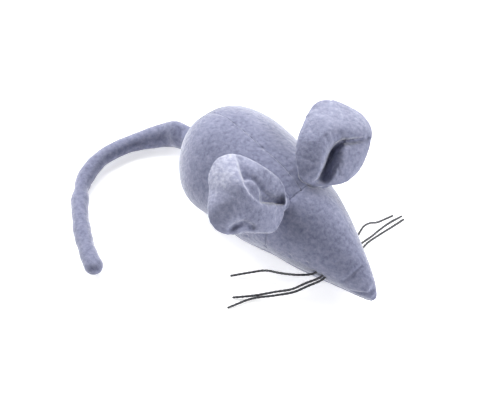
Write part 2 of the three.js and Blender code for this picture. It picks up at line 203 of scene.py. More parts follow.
def between(t, low, high, first, second):
    """What lies between two places when t goes from low to high."""
    return (high - t) / (high - low) * first + (t - low) / (high - low) * second


def through(points, count):
    """A smooth line through given points, as count points spaced evenly along it."""
    points = np.array(points, float)
    ends = np.vstack([2 * points[0] - points[1], points, 2 * points[-1] - points[-2]])
    line = []
    for i in range(len(points) - 1):
        four = ends[i : i + 4]
        knots = np.cumsum([0] + [np.linalg.norm(four[k + 1] - four[k]) ** 0.5 for k in range(3)])
        t = np.linspace(knots[1], knots[2], 24, endpoint=i == len(points) - 2)[:, None]
        ab, bc, cd = (between(t, knots[k], knots[k + 1], four[k], four[k + 1]) for k in range(3))
        abc = between(t, knots[0], knots[2], ab, bc)
        bcd = between(t, knots[1], knots[3], bc, cd)
        line.append(between(t, knots[1], knots[2], abc, bcd))
    return respaced(np.vstack(line), count)


# %% [markdown]
# The photograph looks down on the toy from the front and its right, with a long lens. The camera stands
# about 0.7 m away, and its lens is given for a picture 500 wide.

# %% Camera
CAMERA_PLACE = Vector((358.0, -308.6, 536.2)) * MM
CAMERA_AIM = Vector((0.2, 1.5, 0)) * MM


def aimed(data, place, aim):
    """Puts a camera or a lamp at a place, looking at its aim."""
    thing = bpy.data.objects.new(data.name, data)
    scene.collection.objects.link(thing)
    thing.location = place
    thing.rotation_mode = "QUATERNION"
    thing.rotation_quaternion = (aim - place).to_track_quat("-Z", "Y")
    return thing


camera_data = bpy.data.cameras.new("photo_camera")
camera_data.sensor_width = 36
camera_data.lens = 88.85
camera_data.clip_start = 0.01
camera_data.clip_end = 20
scene.camera = aimed(camera_data, CAMERA_PLACE, CAMERA_AIM)
TO_CAMERA = np.array((CAMERA_PLACE - CAMERA_AIM).normalized())
print("camera stands", round((CAMERA_PLACE - CAMERA_AIM).length, 3), "m away")


# %% [markdown]
# Materials come from a small kit: each one is a Principled shader with colour and bump from noise on Object
# coordinates. Every piece sits at the origin, so the noise runs on from one panel to the next. Sheen gives
# the pale bloom that pile shows where it is seen edge on.


# %% Material kit
def set_inputs(node, values):
    for name, value in values.items():
        node.inputs[name].default_value = value


def new_material(name, roughness, sheen=0.0, sheen_roughness=0.5, sheen_tint=(1, 1, 1), gloss=0.15):
    material = bpy.data.materials.new(name)
    material.use_nodes = True
    shader = material.node_tree.nodes["Principled BSDF"]
    set_inputs(shader, {"Roughness": roughness, "Specular IOR Level": gloss, "Sheen Weight": sheen})
    set_inputs(shader, {"Sheen Roughness": sheen_roughness, "Sheen Tint": (*sheen_tint, 1)})
    return material, shader


def add_node(material, kind, **values):
    node = material.node_tree.nodes.new(kind)
    for name, value in values.items():
        setattr(node, name, value)
    return node


def link(material, source, target):
    material.node_tree.links.new(source, target)


def noise(material, coordinates, size, detail=2.0, roughness=0.5):
    """Noise whose blotches are about size metres across."""
    node = add_node(material, "ShaderNodeTexNoise")
    set_inputs(node, {"Scale": 1 / size, "Detail": detail, "Roughness": roughness})
    link(material, coordinates, node.inputs["Vector"])
    return node.outputs["Fac"]


def ramp(material, value, stops):
    node = add_node(material, "ShaderNodeValToRGB")
    while len(node.color_ramp.elements) < len(stops):
        node.color_ramp.elements.new(0.5)
    for element, (place, colour) in zip(node.color_ramp.elements, stops):
        element.position = place
        element.color = (*colour, 1)
    link(material, value, node.inputs["Fac"])
    return node.outputs["Color"]


def combined(material, operation, first, second):
    node = add_node(material, "ShaderNodeMath", operation=operation)
    for socket, value in zip(node.inputs, (first, second)):
        if isinstance(value, (int, float)):
            socket.default_value = value
        else:
            link(material, value, socket)
    return node.outputs["Value"]


def bump(material, shader, height, distance, strength=1.0):
    node = add_node(material, "ShaderNodeBump")
    set_inputs(node, {"Strength": strength, "Distance": distance})
    link(material, height, node.inputs["Height"])
    link(material, node.outputs["Normal"], shader.inputs["Normal"])


# %% [markdown]
# The plush is a dense pile about 2 mm long. It lies in soft blotches a couple of millimetres across, darker
# where the pile parts and paler where its tips stand up, over slower drifts where it was stroked. The ears
# also have a painted highlight: a point attribute makes their rolled-back tops paler, where light falls on
# them.

# %% Plush
DRIFT_SIZE = 14 * MM
TUFT_SIZE = 2.2 * MM
FIBRE_SIZE = 0.45 * MM


def plush_material(name, dark, light, painted_highlight=None):
    material, shader = new_material(name, 0.95, 1.0, 0.4, (0.95, 0.96, 1.0))
    place = add_node(material, "ShaderNodeTexCoord").outputs["Object"]
    drift = noise(material, place, DRIFT_SIZE, 2)
    tuft = noise(material, place, TUFT_SIZE, 3, 0.6)
    fibre = noise(material, place, FIBRE_SIZE, 2, 0.6)
    blend = combined(material, "ADD", combined(material, "MULTIPLY", drift, 0.35), tuft)
    blend = combined(material, "ADD", blend, combined(material, "MULTIPLY", fibre, 0.35))
    blend = combined(material, "MULTIPLY", blend, 0.6)
    stops = [(0.3, dark), (0.7, light)]
    # On the ears, a painted highlight: a pale third tone, mixed in where the point attribute is high.
    if painted_highlight:
        painted_light_share = add_node(material, "ShaderNodeAttribute", attribute_name="painted_light_share").outputs["Fac"]
        blend = combined(material, "ADD", blend, combined(material, "MULTIPLY", painted_light_share, 0.3))
        stops.append((1.0, painted_highlight))
    link(material, ramp(material, blend, stops), shader.inputs["Base Color"])
    height = combined(material, "ADD", tuft, combined(material, "MULTIPLY", fibre, 0.6))
    bump(material, shader, height, 0.5 * MM, 0.55)
    return material


plush = plush_material("plush", (0.105, 0.114, 0.190), (0.285, 0.298, 0.415))
# The ears' plush adds a pale tone, painted on as a highlight on their rolled-back tops.
ear_plush = plush_material("ear_plush", (0.108, 0.117, 0.192), (0.292, 0.305, 0.420), (0.60, 0.61, 0.71))
print("plush materials made")

# %% [markdown]
# The other finishes are plain: tight waxed cord for the whiskers, spun sewing thread, loose white fibre for
# the filling, woven cotton for the pocket and black nylon for its two closing strips.


# %% Cord, thread, fibre, cotton and nylon
def plain_finish(name, roughness, sheen, patch, tones, relief, height=None, gloss=0.15):
    """A finish with tones in patches. Its relief comes from the patches, or from a height of its own."""
    material, shader = new_material(name, roughness, sheen, gloss=gloss)
    place = add_node(material, "ShaderNodeTexCoord").outputs["Object"]
    drift = noise(material, place, *patch)
    link(material, ramp(material, drift, tones), shader.inputs["Base Color"])
    bump(material, shader, height(material, place) if height else drift, *relief)
    return material


def wax_grain(material, place):
    return noise(material, place, 0.25 * MM, 2)


def weave(material, place):
    waves = []
    for direction in ("X", "Y", "Z"):
        wave = add_node(material, "ShaderNodeTexWave", bands_direction=direction)
        set_inputs(wave, {"Scale": 1 / (6 * MM), "Distortion": 0.6})
        link(material, place, wave.inputs["Vector"])
        waves.append(wave.outputs["Fac"])
    return combined(material, "ADD", combined(material, "MULTIPLY", waves[0], waves[1]), waves[2])


waxed_cord = plain_finish(
    "waxed_cord", 0.42, 0.0, (1.5 * MM, 3), ((0.3, (0.006, 0.006, 0.010)), (0.75, (0.019, 0.019, 0.028))),
    (0.08 * MM, 0.6), height=wax_grain, gloss=0.5,
)
seam_thread = plain_finish(
    "seam_thread", 0.7, 0.2, (0.5 * MM, 2), ((0.3, (0.24, 0.25, 0.35)), (0.7, (0.36, 0.37, 0.47))),
    (0.1 * MM, 0.6),
)
fibre = plain_finish(
    "fibre", 1.0, 0.3, (6 * MM, 6, 0.7), ((0.3, (0.62, 0.61, 0.58)), (0.7, (0.86, 0.85, 0.82))),
    (1.0 * MM, 0.8),
)
cotton = plain_finish(
    "cotton", 0.9, 0.15, (5 * MM, 3), ((0.3, (0.55, 0.53, 0.47)), (0.7, (0.72, 0.70, 0.63))),
    (0.12 * MM, 0.7), height=weave,
)
nylon = plain_finish(
    "nylon", 0.55, 0.1, (1.2 * MM, 3), ((0.3, (0.022, 0.024, 0.032)), (0.7, (0.05, 0.053, 0.066))),
    (0.1 * MM, 0.5), gloss=0.4,
)


def dress(piece, material):
    """Gives a finished piece its one material and smooth shading."""
    piece.data.materials.clear()
    piece.data.materials.append(material)
    select_only(piece)
    bpy.ops.object.shade_smooth()


print("finishes:", [m.name for m in (plush, ear_plush, waxed_cord, seam_thread, fibre, cotton, nylon)])

# %% [markdown]
# Each whisker is a stiff waxed cord of two plies. It leaves the snout, arches out and comes down to the
# floor, along the route of its CAD solid. The routes are short lists of points in millimetres, from the
# snout outwards. They come before the body, whose fabric has a small pit at each root.

# %% Whisker routes
WHISKER = 1.4 * MM
WHISKER_TURN = 2.6 * MM
WHISKER_ROOT = 0.9 * MM
ROOT_SQUARENESS = 0.8
ROOT_PIT = (1.1 * MM, 0.5 * MM)
whisker_routes = {
    "whisker_right_upper": (
        (72.6, -16.9, 16), (67.2, -22.4, 14.5), (58.9, -26.5, 11.2),
        (48.5, -29.5, 6.2), (42.4, -35, 3.2), (35.6, -43.7, 0.8),
    ),
    "whisker_left_upper": (
        (70.8, 17.5, 18.6), (67.9, 25.1, 18), (65.9, 32.1, 14),
        (65.3, 39.5, 8.6), (64.1, 47.6, 4.2), (63.4, 55.1, 0.9),
    ),
    "whisker_right_middle": (
        (76.4, -15.3, 15), (72.4, -21.4, 11.6), (68.3, -27.6, 7.6),
        (61.7, -34.6, 4.4), (54.9, -43, 1.8), (47.6, -52.4, 0.8),
    ),
    "whisker_left_middle": (
        (75.3, 15.7, 17.6), (74, 21.7, 15), (72.2, 28.4, 11.6),
        (69.8, 37.4, 8), (67.6, 47.3, 4), (67, 58.7, 0.9),
    ),
    "whisker_right_lower": (
        (77.6, -14.8, 13.8), (73.9, -21.3, 10.4), (69.9, -27.6, 6.6),
        (62.9, -35.7, 3.4), (55.4, -44.9, 1.2), (51.2, -59, 0.8),
    ),
    "whisker_left_lower": (
        (77.3, 14.9, 16.1), (74.6, 22.8, 12.6), (72.6, 30.7, 8.8),
        (71.2, 39.5, 5.6), (69.9, 48.3, 2.4), (69.4, 58, 0.9),
    ),
}
print("routes of", len(whisker_routes), "whiskers")

# %% [markdown]
# The light is a soft studio with a little light from all round and five wide lamps. The strongest stand
# behind the toy and beyond its tail, so its top edges are bright and the near side is darker. The floor
# glows a little, which makes it white in the picture, and it still keeps a faint shadow. The camera and
# glossy surfaces see a white backdrop instead of the dim surround.

# %% Light and floor
LAMP_SIZE = 0.6
LAMPS = (
    ("rear_lamp", (-0.565, 0.49, 0.66), 9.6),
    ("tail_lamp", (-0.748, -0.054, 0.66), 9.2),
    ("right_side_lamp", (-0.57, -0.658, 0.5), 3.2),
    ("front_lamp", (0.918, 0.066, 0.38), 4.2),
    ("left_side_lamp", (0.6, 0.69, 0.4), 6.4),
)
world = bpy.data.worlds.new("studio")
scene.world = world
world.use_nodes = True
surround = world.node_tree.nodes["Background"]
set_inputs(surround, {"Color": (0.93, 0.95, 1.0, 1), "Strength": 0.06})
backdrop = add_node(world, "ShaderNodeBackground")
set_inputs(backdrop, {"Color": (1, 1, 1, 1), "Strength": 1.0})
ray = add_node(world, "ShaderNodeLightPath").outputs
seen = combined(world, "MAXIMUM", ray["Is Camera Ray"], ray["Is Glossy Ray"])
chooser = add_node(world, "ShaderNodeMixShader")
sources = (seen, surround.outputs["Background"], backdrop.outputs["Background"])
for source, target in zip(sources, chooser.inputs):
    link(world, source, target)
link(world, chooser.outputs["Shader"], world.node_tree.nodes["World Output"].inputs["Surface"])

for name, place, power in LAMPS:
    lamp_data = bpy.data.lights.new(name, "AREA")
    lamp_data.shape = "DISK"
    lamp_data.size = LAMP_SIZE
    lamp_data.energy = power
    aimed(lamp_data, Vector(place), Vector())

floor = started("floor", bpy.ops.mesh.primitive_plane_add, size=1.3, location=(0, 0, -0.0002))
floor_material, floor_shader = new_material("pale_floor", 0.9)
set_inputs(floor_shader, {"Base Color": (0.9, 0.9, 0.9, 1)})
set_inputs(floor_shader, {"Emission Color": (1, 1, 1, 1), "Emission Strength": 0.55})
floor.data.materials.append(floor_material)

scene.view_settings.view_transform = "Standard"
print("lamps:", [name for name, _, _ in LAMPS])

# %% [markdown]
# The soft pieces start from CAD solids. Joined and remeshed with small voxels, these become one closed skin
# of even squares, which suits a cloth simulation. The simulation blows the skin up from inside. It runs at
# ten times the size, because Blender's cloth is meant for things as large as clothes.

# %% Skins and stuffing
SIM_SCALE = 10
SIM_FRAMES = 20


def copied(name, *nodes):
    """One new mesh with the shapes of some CAD nodes."""
    twins = []
    for node in nodes:
        twin = bpy.data.objects.new(name, frame["nodes"][node].data.copy())
        scene.collection.objects.link(twin)
        twins.append(twin)
    select_only(*twins)
    if len(twins) > 1:
        bpy.ops.object.join()
    piece = twins[0]
    piece.name = piece.data.name = name
    piece.data.materials.clear()
    edited(piece, bpy.ops.mesh.remove_doubles, threshold=0.001 * MM)
    return piece


def voxel_skin(piece, voxel):
    piece.data.remesh_voxel_size = voxel
    piece.data.remesh_voxel_adaptivity = 0
    select_only(piece)
    bpy.ops.object.voxel_remesh()


def puffed(piece, held, pressure, limit):
    """Blows a skin up from inside. Held points stay, and no point moves further than limit."""
    start = points_of(piece)
    move_points(piece, start * SIM_SCALE)
    group = piece.vertex_groups.new(name="held")
    group.add([int(i) for i in np.flatnonzero(held)], 1.0, "REPLACE")
    cloth = piece.modifiers.new("stuffing", "CLOTH")
    cloth.settings.vertex_group_mass = "held"
    cloth.settings.use_pressure = True
    cloth.settings.uniform_pressure_force = pressure
    cloth.settings.effector_weights.gravity = 0
    for step in range(1, SIM_FRAMES + 1):
        scene.frame_set(step)
    select_only(piece)
    bpy.ops.object.modifier_apply(modifier=cloth.name)
    moved = points_of(piece) / SIM_SCALE - start
    far = np.linalg.norm(moved, axis=1, keepdims=True)
    moved *= limit * np.tanh(far / limit) / np.maximum(far, 1e-9)
    move_points(piece, start + moved)
    piece.vertex_groups.clear()
    scene.frame_set(1)
    print(piece.name, "swelled by up to", round(far.max() / MM, 2), "mm")


# %% [markdown]
# The body's skin is made of the panels and all that lies inside them. It is drawn in a little, the nose is
# drawn out to its tip, and the cheeks and three places on each side are filled out. Then the simulation
# blows it up while its seams and the flat belly are held, so that it swells between the seams as stuffed
# fabric does.

# %% Skin of the body
BODY_VOXEL = 2.2 * MM
DRAWN_IN = 0.8 * MM
DRAWN_IN_ABOVE = (1 * MM, 9 * MM)
NOSE_FROM_TO = (78 * MM, 97 * MM)
NOSE_DRAWN_OUT = 4.0 * MM
NOSE_NARROWED = 0.12
CHEEK_FILL = 2.2 * MM
CHEEK_AHEAD = 2 * MM
CHEEK_LENGTH = 9 * MM
CHEEK_OUT = (12 * MM, 24 * MM)
CHEEK_UP = (10 * MM, 22 * MM)
FULLER_PLACES = (((-28, 9, 44), 18, 2.6), ((-16, 28, 14), 16, 2.8), ((24, 28, 10), 10, 1.6))
FLAT_BELOW = 1.2 * MM
NECK_X = 44 * MM
NECK_PINCH_HALF = 18 * MM
NECK_HELD = 1.4 * MM
SIDE_SEAM_Z = 8 * MM
SIDE_HELD = 1.2 * MM
FLOOR_HELD = 1.5 * MM
BODY_PRESSURE = 60.0
BODY_SWELL = 3.0 * MM

skin = copied(
    "rat_skin", "back_panel_left", "back_panel_right", "head_panel", "belly_panel", "body_stuffing",
    "head_stuffing", "pocket_lining", "pocket_flap", "hook_strip", "loop_strip",
)
voxel_skin(skin, BODY_VOXEL)
relaxed(skin, 4)
points = points_of(skin)
x, y, z = points.T
points -= normals_of(skin) * (DRAWN_IN * smooth_step(*DRAWN_IN_ABOVE, z))[:, None]
nose = smooth_step(*NOSE_FROM_TO, x)
x += NOSE_DRAWN_OUT * nose
y *= 1 - NOSE_NARROWED * nose
cheek = bell(x - NECK_X - CHEEK_AHEAD, CHEEK_LENGTH)
cheek *= smooth_step(*CHEEK_OUT, abs(y))
cheek *= smooth_step(*CHEEK_UP, z)
points += normals_of(skin) * (CHEEK_FILL * cheek)[:, None]
for place, width, swell in FULLER_PLACES:
    gap = np.linalg.norm(np.stack([x, abs(y), z], axis=1) - np.array(place) * MM, axis=1)
    points += normals_of(skin) * (swell * MM * bell(gap, width * MM))[:, None]
z[z < FLAT_BELOW] = 0
move_points(skin, points)
at_neck = (abs(x - NECK_X) < NECK_HELD) & (abs(y) < NECK_PINCH_HALF) & (z > SIDE_SEAM_Z)
at_side = abs(z - SIDE_SEAM_Z) < SIDE_HELD
on_floor = z < FLOOR_HELD
puffed(skin, at_neck | at_side | on_floor, BODY_PRESSURE, BODY_SWELL)
skin_tree = BVHTree.FromObject(skin, bpy.context.evaluated_depsgraph_get())
tell(skin)

# %% [markdown]
# The skin is then cut along its seams into the four panels that were really sewn: two for the back, one for
# the head and one for the belly. These helpers cut a mesh where a plane meets it, take faces away as a
# piece of their own, turn edges in, and press soft grooves into a surface.

# %% Cutting and pressing
BODY_AXIS_Z = 19 * MM


def on_faces(piece, chosen, operator, **values):
    """Runs a mesh operator on the faces that a test of their middles and normals chooses."""
    select_only(piece)
    bpy.context.tool_settings.mesh_select_mode = (False, False, True)
    faces = piece.data.polygons
    picked = chosen(rows_of(faces, "center"), rows_of(faces, "normal"))
    for parts in (piece.data.vertices, piece.data.edges):
        parts.foreach_set("select", np.zeros(len(parts), bool))
    faces.foreach_set("select", picked)
    bpy.ops.object.mode_set(mode="EDIT")
    operator(**values)
    bpy.ops.object.mode_set(mode="OBJECT")


def everything(middle, _):
    return np.ones(len(middle), bool)


def cut_across(piece, place, normal, chosen=everything):
    """Cuts the chosen faces where they meet a plane."""
    on_faces(piece, chosen, bpy.ops.mesh.bisect, plane_co=place, plane_no=normal)


def split_off(piece, name, chosen):
    """Takes the chosen faces away as a piece of their own."""
    before = set(scene.objects)
    on_faces(piece, chosen, bpy.ops.mesh.separate, type="SELECTED")
    part = next(o for o in scene.objects if o not in before)
    part.name = part.data.name = name
    return part


def turn_in_edges(piece, depth):
    """Folds a panel's open edges in towards the middle of the body."""
    on_open_edges(piece, bpy.ops.mesh.extrude_edges_move)
    points = points_of(piece)
    edge = np.empty(len(points), bool)
    piece.data.vertices.foreach_get("select", edge)
    inward = unit(np.array((0, 0, BODY_AXIS_Z)) - points * (0, 1, 1))
    points[edge] += inward[edge] * depth
    move_points(piece, points)


def thickened(piece, thickness, offset):
    """Adds a thickness, inwards for an offset of -1 and outwards for 1. It is applied later."""
    layer = piece.modifiers.new("fabric", "SOLIDIFY")
    layer.thickness = thickness
    layer.offset = offset
    return layer


def piled(piece, size, height):
    """Lifts the surface by a fine cloud pattern, as pile stands up in tufts."""
    cloud = bpy.data.textures.new(piece.name + "_pile", "CLOUDS")
    cloud.noise_scale = size
    cloud.noise_depth = 1
    lift = piece.modifiers.new("pile", "DISPLACE")
    lift.texture = cloud
    lift.texture_coords = "LOCAL"
    lift.strength = height
    lift.mid_level = 0.5
    apply_modifiers(piece)


def on_skin(places):
    """The places moved to the nearest point of the skin."""
    return np.array([skin_tree.find_nearest(Vector(place))[0] for place in places])


def pressed(piece, places, width, depth):
    """Presses a soft groove into a surface along a line of places close together."""
    points = points_of(piece)
    gap = np.full(len(points), np.inf)
    for place in places:
        gap = np.minimum(gap, np.linalg.norm(points - place, axis=1))
    move_points(piece, points - normals_of(piece) * (depth * bell(gap, width))[:, None])


# %% [markdown]
# Each cut has a support cut close beside it on both sides, which keeps the crease narrow. A soft valley is
# pressed along the neck and the spine. The points on the cuts are kept, a little under the skin, as routes
# for the thread.

# %% Seams
SEAM_ROLL = 0.45 * MM
ON_SEAM = 0.01 * MM
NECK_VALLEY = (3.0 * MM, 0.9 * MM)
SPINE_VALLEY = (1.8 * MM, 0.35 * MM)
THREAD_DEPTH = 1.0 * MM
SPINE_DEPTH = 0.38 * MM


def over_side_seam(middle, _):
    return middle[:, 2] > SIDE_SEAM_Z - 1e-6


def on_back(middle, _):
    return over_side_seam(middle, _) & (middle[:, 0] < NECK_X + 1e-6)


for roll in (-SEAM_ROLL, 0, SEAM_ROLL):
    cut_across(skin, (0, 0, SIDE_SEAM_Z + roll), (0, 0, 1))
    cut_across(skin, (NECK_X + roll, 0, 0), (1, 0, 0), over_side_seam)
    cut_across(skin, (0, roll, 0), (0, 1, 0), on_back)

points = points_of(skin)
x, y, z = points.T
on_spine = (abs(y) < ON_SEAM) & (x < NECK_X) & (z > SIDE_SEAM_Z + MM)
on_neck = (abs(x - NECK_X) < ON_SEAM) & (z > SIDE_SEAM_Z + MM)
on_side = abs(z - SIDE_SEAM_Z) < ON_SEAM
pressed(skin, points[on_neck & (abs(y) < NECK_PINCH_HALF)][::2], *NECK_VALLEY)
pressed(skin, points[on_spine][::2], *SPINE_VALLEY)
points = points_of(skin)
inside = points - normals_of(skin) * THREAD_DEPTH
shallow = points - normals_of(skin) * SPINE_DEPTH
seam_points = {
    "spine_seam_thread": shallow[on_spine],
    "neck_seam_thread": inside[on_neck],
    "side_seam_thread_left": inside[on_side & (points[:, 1] > 0.5 * MM)],
    "side_seam_thread_right": inside[on_side & (points[:, 1] < -0.5 * MM)],
}
for node, places in seam_points.items():
    print(node, "has", len(places), "points")

# %% [markdown]
# Now the panels come apart, and the belly gets a window for the pocket.

# %% Panels and window
WINDOW_LOW = (6 * MM, -11 * MM)
WINDOW_HIGH = (39 * MM, 11 * MM)


def facing_floor(middle, normal):
    return (normal[:, 2] < -0.7) & (middle[:, 2] < 2 * MM)


def in_window(middle, normal):
    along = (middle[:, 0] > WINDOW_LOW[0]) & (middle[:, 0] < WINDOW_HIGH[0])
    across = (middle[:, 1] > WINDOW_LOW[1]) & (middle[:, 1] < WINDOW_HIGH[1])
    return facing_floor(middle, normal) & along & across


belly = split_off(skin, "belly_panel_plush", lambda m, _: m[:, 2] < SIDE_SEAM_Z)
head = split_off(skin, "head_panel_plush", lambda m, _: m[:, 0] > NECK_X)
back_left = split_off(skin, "back_panel_left_plush", lambda m, _: m[:, 1] > 0)
back_right = skin
back_right.name = back_right.data.name = "back_panel_right_plush"
for x, _ in (WINDOW_LOW, WINDOW_HIGH):
    cut_across(belly, (x, 0, 0), (1, 0, 0), facing_floor)
for _, y in (WINDOW_LOW, WINDOW_HIGH):
    cut_across(belly, (0, y, 0), (0, 1, 0), facing_floor)
on_faces(belly, in_window, bpy.ops.mesh.delete, type="FACE")
tell(belly)

# %% [markdown]
# Each panel is turned in along its edges and thickened to a layer of plush. The snout has two creases, some
# dimples show where the stuffing is thin, and each whisker leaves from a small pit. Each of these is given
# by its width and its depth.

# %% Sewn panels
TUCK = 2.2 * MM
PLUSH = 1.6 * MM
PILE = (1.7 * MM, 0.25 * MM)
CREASE = (1.1 * MM, 0.8 * MM)
DIMPLE = (1.0 * MM, 0.6 * MM)
SNOUT_CREASES = (
    ((88.1, -8.8, 18.4), (89.7, -7, 21.5), (90.9, -4, 24.8), (91.3, 0.6, 26.1)),
    ((93.5, -6.8, 12.5), (96.2, -5.2, 13.4), (98.5, -3, 14), (100, 0, 13.5)),
)
DIMPLES = (
    (65.3, -16.8, 29.4), (68.3, -17.3, 21.5), (82, -8.8, 28.4), (32.1, -29, 19.9),
    (43, -24.8, 19.3), (-10.4, -1.9, 54.9), (58.8, -20.9, 21.5),
)
panels = {
    "back_panel_left": back_left, "back_panel_right": back_right, "head_panel": head, "belly_panel": belly,
}
whisker_starts = np.array([route[0] for route in whisker_routes.values()]) * MM
for node, panel in panels.items():
    turn_in_edges(panel, TUCK)
    thickened(panel, PLUSH, -1)
    rounded(panel, 2)
    for crease in SNOUT_CREASES:
        pressed(panel, on_skin(through(np.array(crease) * MM, 24)), *CREASE)
    pressed(panel, on_skin(np.array(DIMPLES) * MM), *DIMPLE)
    pressed(panel, on_skin(whisker_starts), *ROOT_PIT)
    piled(panel, *PILE)
    dress(panel, plush)
    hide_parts(node)
    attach(panel, "torso")
    tell(panel)

# %% [markdown]
# Now that there is a skin to come out of, the whiskers are made. Each one bends from its route to a root
# just under the skin.


# %% Whiskers
STRAND_SIDES = 12
PLY_PINCH = 0.2
BLUNT_END = 0.35
WELD = 0.01 * MM


def rolled_grid(name, sides, rings):
    """A flat grid to roll into a tube, with the column and the row of each of its points."""
    tube = started(
        name, bpy.ops.mesh.primitive_grid_add, x_subdivisions=sides, y_subdivisions=rings - 1, size=1
    )
    grid = points_of(tube)
    column = np.rint((grid[:, 0] + 0.5) * sides).astype(int) % sides
    row = np.rint((grid[:, 1] + 0.5) * (rings - 1)).astype(int)
    return tube, column, row


def fill_ends():
    bpy.ops.mesh.fill_holes(sides=0)


def strand_along(name, line, diameter, turn):
    """Two plies wound round a line: a grid rolled into a tube with a pinched, turning section."""
    rings = len(line)
    strand, column, row = rolled_grid(name, STRAND_SIDES, rings)
    tangent = unit(np.gradient(line, axis=0))
    across = unit(np.cross(tangent, (0, 0, 1)))
    upward = np.cross(across, tangent)
    angle = column / STRAND_SIDES * 2 * math.pi
    ply = angle - steps_along(line)[row] / turn * math.pi
    radius = diameter / 2 * (1 - PLY_PINCH + PLY_PINCH * np.abs(np.cos(ply)))
    radius *= np.where((row == 0) | (row == rings - 1), BLUNT_END, 1)
    offset = across[row] * np.cos(angle)[:, None] + upward[row] * np.sin(angle)[:, None]
    move_points(strand, line[row] + offset * radius[:, None])
    edited(strand, bpy.ops.mesh.remove_doubles, threshold=WELD)
    on_open_edges(strand, fill_ends)
    edited(strand, bpy.ops.mesh.normals_make_consistent, inside=False)
    return strand


def first_under(places, depth):
    """Which of some places is the first that lies deeper than depth under the skin."""
    for i, place in enumerate(places):
        near, outward = skin_tree.find_nearest(Vector(place))[:2]
        if (near - Vector(place)).dot(outward) > depth:
            break
    return i


def sewn_in(points):
    """Where a whisker's end lies just under the skin. It goes in more squarely than its route lies."""
    outward = np.array(skin_tree.find_nearest(Vector(points[0]))[1])
    inward = unit(unit(points[0] - points[1]) - ROOT_SQUARENESS * outward)
    roots = points[0] + inward * np.arange(0.5, 6, 0.1)[:, None] * MM
    return roots[first_under(roots, WHISKER_ROOT)]


for node, route in whisker_routes.items():
    points = np.array(route) * MM
    line = through(np.vstack([sewn_in(points), points]), 90)
    whisker = strand_along(node + "_cord", line, WHISKER, WHISKER_TURN)
    dress(whisker, waxed_cord)
    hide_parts(node)
    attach(whisker, "whiskers_right" if "right" in node else "whiskers_left")
    print(node, "is", round(length_of(line) / MM, 1), "mm long")

# %% [markdown]
# The panels are sewn together with a stout thread that goes back and forth across each seam, just under the
# pile. The points kept from the cuts are put in order and given a small zigzag, one stitch a turn.

# %% Seam threads
THREAD = 0.7 * MM
THREAD_TURN = 1.5 * MM
SEAM_SMOOTHED = 4 * MM
SEAM_STEP = 0.4 * MM
STITCH = 3.2 * MM
STITCH_REACH = 0.3 * MM


def in_order(points, start):
    """Scattered points of a seam, each followed by the nearest one left."""
    left = [tuple(p) for p in points]
    here = start
    line = []
    while left:
        here = min(left, key=lambda p: np.linalg.norm(np.subtract(p, here)))
        left.remove(here)
        line.append(here)
    return np.array(line)


def stitched(line):
    """The same line with a stitch to the left and one to the right of it in turn."""
    for step in (SEAM_SMOOTHED, SEAM_STEP):
        line = respaced(line, int(length_of(line) / step))
    outward = line * (0, 1, 1) - (0, 0, BODY_AXIS_Z)
    across = unit(np.cross(unit(np.gradient(line, axis=0)), outward))
    step = np.linspace(0, length_of(line), len(line))
    return line + across * (STITCH_REACH * np.sin(step / STITCH * math.pi))[:, None]


for node, places in seam_points.items():
    axis = 1 if node == "neck_seam_thread" else 0
    line = stitched(in_order(places, places[np.argmin(places[:, axis])]))
    thread = strand_along(node + "_stitches", line, THREAD, THREAD_TURN)
    dress(thread, seam_thread)
    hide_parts(node)
    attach(thread, "torso")
    print(node, "runs", round(length_of(line) / MM), "mm")

# %% [markdown]
# Each ear is two rounds of plush sewn edge to edge with a thin wad of filling, gathered into the neck seam.
# As it was gathered it took one deep fold: a near lobe rolls over a hollow, and the far lobe lies behind
# it. An ear's outline is given by its reach from a middle, in millimetres, at even turns round it. The fold
# follows a ridge line, and its depth and the width of its two rolls are given at even steps along that
# line.

# %% Ear outlines and folds
ears = {
    "ear_left": {
        "side": 1, "sweep": 19, "raise": 35, "turn": 50, "middle": (14, 4),
        "reach": (
            25.3, 26.1, 26.0, 22.4, 20.0, 19.6, 19.7, 20.7, 23.0,
            20.7, 19.2, 18.9, 18.8, 19.1, 19.4, 21.2, 24.6, 25.4,
        ),
        "ridge": (
            (-9, 7), (-3.6, 4.2), (3.4, 4.4), (10.7, 5.3), (16.5, 4.3), (20.8, 1.4), (23.4, -4.1),
            (27.2, -9.8), (31, -15),
        ),
        "depth": (9, 11, 12, 9, 5.5, 0.5),
        "near_roll": (0.8, 0.8, 1.5, 5, 6, 6),
        "far_roll": (6, 8, 9, 6, 5, 5),
        "grooves": ((((24, 23), (20, 19.5), (16.3, 16.4)), 1.1, 1.6),),
        # The last value is how strongly the rolled-back top is painted paler, as a highlight.
        "tongue": None, "lean": (8, 0.2), "roll_to": (0.92, 0.39), "painted_highlight": 0.4,
    },
    "ear_right": {
        "side": -1, "sweep": 29, "raise": 24, "turn": 32, "middle": (18, 5),
        "reach": (
            20.9, 23.5, 25.2, 23.4, 20.2, 18.2, 18.1, 19.6, 22.0,
            22.6, 23.7, 24.2, 20.6, 18.8, 20.3, 22.9, 23.5, 21.8,
        ),
        "ridge": (
            (-6, 3.5), (8.8, 2.7), (12.2, 3.6), (16.8, 6.9), (20.4, 11.2), (23.6, 17.3), (26.2, 23),
            (28, 28),
        ),
        "depth": (9, 9.5, 9, 6, 3.5, 0.5),
        "near_roll": (1.5, 1.0, 0.8, 0.8, 0.8, 0.8),
        "far_roll": (8, 9, 10, 9, 7, 5),
        "grooves": ((((24.3, -12.4), (21.3, -9.6), (17.4, -8), (11.9, -9.9)), 1.5, 3.2),),
        "tongue": ((19.7, 12.8), (17.2, 13.5), (14.5, 12.8), (11.5, 10.3), (9.9, 6.8), (8.9, 2.1)),
        # The last value is how strongly the rolled-back top is painted paler, as a highlight.
        "lean": (6, 0), "roll_to": (0.79, 0.61), "painted_highlight": 0.95,
    },
}
